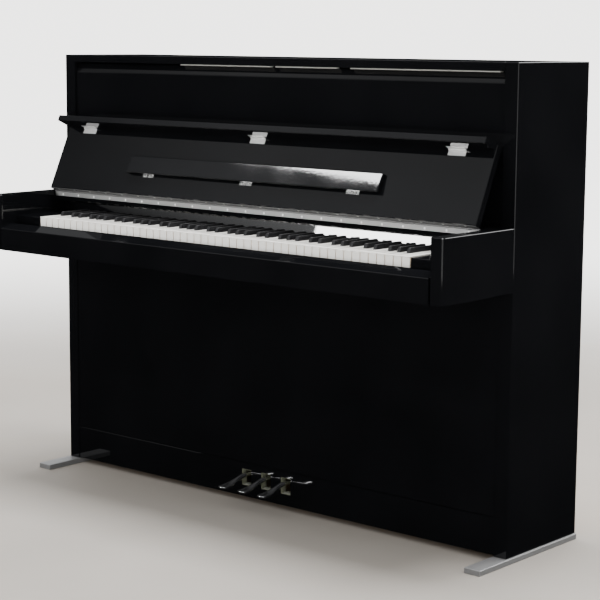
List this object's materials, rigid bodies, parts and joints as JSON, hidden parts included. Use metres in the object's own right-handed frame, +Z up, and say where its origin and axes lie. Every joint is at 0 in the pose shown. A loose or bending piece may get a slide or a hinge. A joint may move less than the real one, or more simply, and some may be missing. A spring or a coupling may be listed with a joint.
{
  "type": "upright piano",
  "caption": "Free-standing upright piano with folding fallboard, hinged lip and music ledge, sprung keys and pedals, on two flat floor bars.",
  "frame": {"origin": "on the floor, midway between the two sides and midway between the fronts of the arms and the back of the case", "axes": "+X to the player's right, +Y from the player towards the back, +Z up"},
  "size_m": [1.5166, 0.572, 1.16],
  "materials": {
    "black_lacquer": "high-gloss black polyester lacquer over board",
    "satin_silver": "satin silver-grey flat bar",
    "hinge_nickel": "nickel-plated steel hinge leaf",
    "pedal_chrome": "polished chrome-plated casting",
    "key_white": "warm white polished key covering",
    "key_black": "satin black",
    "spruce": "clear satin varnish on spruce",
    "maple": "bare sanded beech and maple",
    "plate_gold": "bronze-gold enamel on cast iron",
    "action_alloy": "mill-finish alloy"
  },
  "bodies": {
    "root": {"left_foot_bar": "satin_silver", "right_foot_bar": "satin_silver", "left_side_panel": "black_lacquer", "right_side_panel": "black_lacquer", "left_arm": "black_lacquer", "right_arm": "black_lacquer", "key_bed": "black_lacquer", "key_slip": "black_lacquer", "left_key_block": "black_lacquer", "right_key_block": "black_lacquer", "balance_rail": "maple", "fall_shelf": "black_lacquer", "name_board": "black_lacquer", "fall_hinge_fixed_leaf": "hinge_nickel", "upper_panel": "black_lacquer", "lower_panel": "black_lacquer", "pedal_rail": "black_lacquer", "bottom_board": "maple", "top_rear_rail": "black_lacquer", "back_frame": "spruce", "soundboard": "spruce", "pin_block": "maple", "iron_plate": "plate_gold", "action_frame": "action_alloy"},
    "lid": {"lid": "black_lacquer"},
    "fallboard": {"fallboard": "black_lacquer", "fall_hinge_moving_leaf": "hinge_nickel", "left_lip_hinge": "hinge_nickel", "centre_lip_hinge": "hinge_nickel", "right_lip_hinge": "hinge_nickel"},
    "fall_lip": {"fall_lip": "black_lacquer"},
    "music_ledge": {"music_ledge": "black_lacquer"},
    "key_c4": {"key_c4": "key_white"},
    "key_c_sharp4": {"key_c_sharp4": "key_black"},
    "key_d4": {"key_d4": "key_white"},
    "key_d_sharp4": {"key_d_sharp4": "key_black"},
    "key_e4": {"key_e4": "key_white"},
    "key_f4": {"key_f4": "key_white"},
    "key_f_sharp4": {"key_f_sharp4": "key_black"},
    "key_g4": {"key_g4": "key_white"},
    "key_g_sharp4": {"key_g_sharp4": "key_black"},
    "key_a4": {"key_a4": "key_white"},
    "key_a_sharp4": {"key_a_sharp4": "key_black"},
    "key_b4": {"key_b4": "key_white"},
    "bass_naturals": {"bass_naturals": "key_white"},
    "bass_sharps": {"bass_sharps": "key_black"},
    "treble_naturals": {"treble_naturals": "key_white"},
    "treble_sharps": {"treble_sharps": "key_black"},
    "left_pedal": {"left_pedal": "pedal_chrome"},
    "left_trap_lever": {"left_trap_lever": "maple"},
    "left_pedal_rod": {"left_pedal_rod": "maple"},
    "middle_pedal": {"middle_pedal": "pedal_chrome"},
    "middle_trap_lever": {"middle_trap_lever": "maple"},
    "middle_pedal_rod": {"middle_pedal_rod": "maple"},
    "right_pedal": {"right_pedal": "pedal_chrome"},
    "right_trap_lever": {"right_trap_lever": "maple"},
    "right_pedal_rod": {"right_pedal_rod": "maple"},
    "hammer_rest_rail": {"hammer_rest_rail": "maple"},
    "muffler_rail": {"muffler_rail": "maple"},
    "damper_lift_rod": {"damper_lift_rod": "action_alloy"}
  },
  "joints": [
    {"name": "lid_hinge", "type": "hinge", "parent": "root", "child": "lid", "pos_m": [0, 0.262, 1.16], "axis": [-1, 0, 0], "range_deg": [0, 95]},
    {"name": "fallboard_hinge", "type": "hinge", "parent": "root", "child": "fallboard", "pos_m": [0, -0.0903, 0.7885], "axis": [1, 0, 0], "range_deg": [0, 114.5]},
    {"name": "fall_lip_hinge", "type": "hinge", "parent": "fallboard", "child": "fall_lip", "pos_m": [0, -0.03832, 0.9602], "axis": [1, 0, 0], "range_deg": [0, 86]},
    {"name": "music_ledge_hinge", "type": "hinge", "parent": "fallboard", "child": "music_ledge", "pos_m": [0, -0.08665, 0.84981], "axis": [-1, 0, 0], "range_deg": [-90, 0]},
    {"name": "key_c4_pin", "type": "hinge", "parent": "root", "child": "key_c4", "pos_m": [0, -0.007, 0.707], "axis": [1, 0, 0], "range_deg": [0, 2.6], "stiffness_Nm_per_rad": 1, "springref_deg": -9.74},
    {"name": "key_c_sharp4_pin", "type": "hinge", "parent": "root", "child": "key_c_sharp4", "pos_m": [0, -0.007, 0.707], "axis": [1, 0, 0], "range_deg": [0, 2.6], "stiffness_Nm_per_rad": 1, "springref_deg": -9.74},
    {"name": "key_d4_pin", "type": "hinge", "parent": "root", "child": "key_d4", "pos_m": [0, -0.007, 0.707], "axis": [1, 0, 0], "range_deg": [0, 2.6], "stiffness_Nm_per_rad": 1, "springref_deg": -9.74},
    {"name": "key_d_sharp4_pin", "type": "hinge", "parent": "root", "child": "key_d_sharp4", "pos_m": [0, -0.007, 0.707], "axis": [1, 0, 0], "range_deg": [0, 2.6], "stiffness_Nm_per_rad": 1, "springref_deg": -9.74},
    {"name": "key_e4_pin", "type": "hinge", "parent": "root", "child": "key_e4", "pos_m": [0, -0.007, 0.707], "axis": [1, 0, 0], "range_deg": [0, 2.6], "stiffness_Nm_per_rad": 1, "springref_deg": -9.74},
    {"name": "key_f4_pin", "type": "hinge", "parent": "root", "child": "key_f4", "pos_m": [0, -0.007, 0.707], "axis": [1, 0, 0], "range_deg": [0, 2.6], "stiffness_Nm_per_rad": 1, "springref_deg": -9.74},
    {"name": "key_f_sharp4_pin", "type": "hinge", "parent": "root", "child": "key_f_sharp4", "pos_m": [0, -0.007, 0.707], "axis": [1, 0, 0], "range_deg": [0, 2.6], "stiffness_Nm_per_rad": 1, "springref_deg": -9.74},
    {"name": "key_g4_pin", "type": "hinge", "parent": "root", "child": "key_g4", "pos_m": [0, -0.007, 0.707], "axis": [1, 0, 0], "range_deg": [0, 2.6], "stiffness_Nm_per_rad": 1, "springref_deg": -9.74},
    {"name": "key_g_sharp4_pin", "type": "hinge", "parent": "root", "child": "key_g_sharp4", "pos_m": [0, -0.007, 0.707], "axis": [1, 0, 0], "range_deg": [0, 2.6], "stiffness_Nm_per_rad": 1, "springref_deg": -9.74},
    {"name": "key_a4_pin", "type": "hinge", "parent": "root", "child": "key_a4", "pos_m": [0, -0.007, 0.707], "axis": [1, 0, 0], "range_deg": [0, 2.6], "stiffness_Nm_per_rad": 1, "springref_deg": -9.74},
    {"name": "key_a_sharp4_pin", "type": "hinge", "parent": "root", "child": "key_a_sharp4", "pos_m": [0, -0.007, 0.707], "axis": [1, 0, 0], "range_deg": [0, 2.6], "stiffness_Nm_per_rad": 1, "springref_deg": -9.74},
    {"name": "key_b4_pin", "type": "hinge", "parent": "root", "child": "key_b4", "pos_m": [0, -0.007, 0.707], "axis": [1, 0, 0], "range_deg": [0, 2.6], "stiffness_Nm_per_rad": 1, "springref_deg": -9.74},
    {"name": "bass_naturals_pin", "type": "hinge", "parent": "root", "child": "bass_naturals", "pos_m": [0, -0.007, 0.707], "axis": [1, 0, 0], "range_deg": [0, 2.6], "stiffness_Nm_per_rad": 23, "springref_deg": -9.74},
    {"name": "bass_sharps_pin", "type": "hinge", "parent": "root", "child": "bass_sharps", "pos_m": [0, -0.007, 0.707], "axis": [1, 0, 0], "range_deg": [0, 2.6], "stiffness_Nm_per_rad": 16, "springref_deg": -9.74},
    {"name": "treble_naturals_pin", "type": "hinge", "parent": "root", "child": "treble_naturals", "pos_m": [0, -0.007, 0.707], "axis": [1, 0, 0], "range_deg": [0, 2.6], "stiffness_Nm_per_rad": 22, "springref_deg": -9.74},
    {"name": "treble_sharps_pin", "type": "hinge", "parent": "root", "child": "treble_sharps", "pos_m": [0, -0.007, 0.707], "axis": [1, 0, 0], "range_deg": [0, 2.6], "stiffness_Nm_per_rad": 15, "springref_deg": -9.74},
    {"name": "left_pedal_hinge", "type": "hinge", "parent": "root", "child": "left_pedal", "pos_m": [-0.068, 0.045, 0.064], "axis": [1, 0, 0], "range_deg": [0, 7], "stiffness_Nm_per_rad": 20, "springref_deg": -11.46},
    {"name": "middle_pedal_hinge", "type": "hinge", "parent": "root", "child": "middle_pedal", "pos_m": [0, 0.045, 0.064], "axis": [1, 0, 0], "range_deg": [0, 7], "stiffness_Nm_per_rad": 20, "springref_deg": -11.46},
    {"name": "right_pedal_hinge", "type": "hinge", "parent": "root", "child": "right_pedal", "pos_m": [0.068, 0.045, 0.064], "axis": [1, 0, 0], "range_deg": [0, 7], "stiffness_Nm_per_rad": 20, "springref_deg": -11.46},
    {"name": "left_trap_lever_pivot", "type": "hinge", "parent": "root", "child": "left_trap_lever", "pos_m": [0.45, 0.135, 0.109], "axis": [0, 1, 0], "range_deg": [0, 1.23]},
    {"name": "left_pedal_rod_lift", "type": "slide", "parent": "root", "child": "left_pedal_rod", "axis": [0, 0, 1], "range_m": [0, 0.02366]},
    {"name": "middle_trap_lever_pivot", "type": "hinge", "parent": "root", "child": "middle_trap_lever", "pos_m": [0.45, 0.11, 0.109], "axis": [0, 1, 0], "range_deg": [0, 1.02]},
    {"name": "middle_pedal_rod_lift", "type": "slide", "parent": "root", "child": "middle_pedal_rod", "axis": [0, 0, 1], "range_m": [0, 0.01969]},
    {"name": "right_trap_lever_pivot", "type": "hinge", "parent": "root", "child": "right_trap_lever", "pos_m": [0.45, 0.085, 0.109], "axis": [0, 1, 0], "range_deg": [0, 0.743]},
    {"name": "right_pedal_rod_lift", "type": "slide", "parent": "root", "child": "right_pedal_rod", "axis": [0, 0, 1], "range_m": [0, 0.0143]},
    {"name": "hammer_rest_rail_swing", "type": "hinge", "parent": "root", "child": "hammer_rest_rail", "pos_m": [0, 0.05, 0.86], "axis": [-1, 0, 0], "range_deg": [0, 10.1]},
    {"name": "muffler_rail_drop", "type": "slide", "parent": "root", "child": "muffler_rail", "axis": [0, 0, -1], "range_m": [0, 0.0301]},
    {"name": "damper_lift_rod_lift", "type": "slide", "parent": "root", "child": "damper_lift_rod", "axis": [0, 0, 1], "range_m": [0, 0.0061]}
  ],
  "couplings": [
    {"joint": "left_trap_lever_pivot", "follows": "left_pedal_hinge", "ratio": 0.17375},
    {"joint": "left_pedal_rod_lift", "follows": "left_pedal_hinge", "m_per_rad": 0.19286},
    {"joint": "middle_trap_lever_pivot", "follows": "middle_pedal_hinge", "ratio": 0.14444},
    {"joint": "middle_pedal_rod_lift", "follows": "middle_pedal_hinge", "m_per_rad": 0.16033},
    {"joint": "right_trap_lever_pivot", "follows": "right_pedal_hinge", "ratio": 0.10471},
    {"joint": "right_pedal_rod_lift", "follows": "right_pedal_hinge", "m_per_rad": 0.11623},
    {"joint": "hammer_rest_rail_swing", "follows": "left_pedal_hinge", "ratio": 1.4286},
    {"joint": "muffler_rail_drop", "follows": "middle_pedal_hinge", "m_per_rad": 0.24555},
    {"joint": "damper_lift_rod_lift", "follows": "right_pedal_hinge", "m_per_rad": 0.049111}
  ]
}
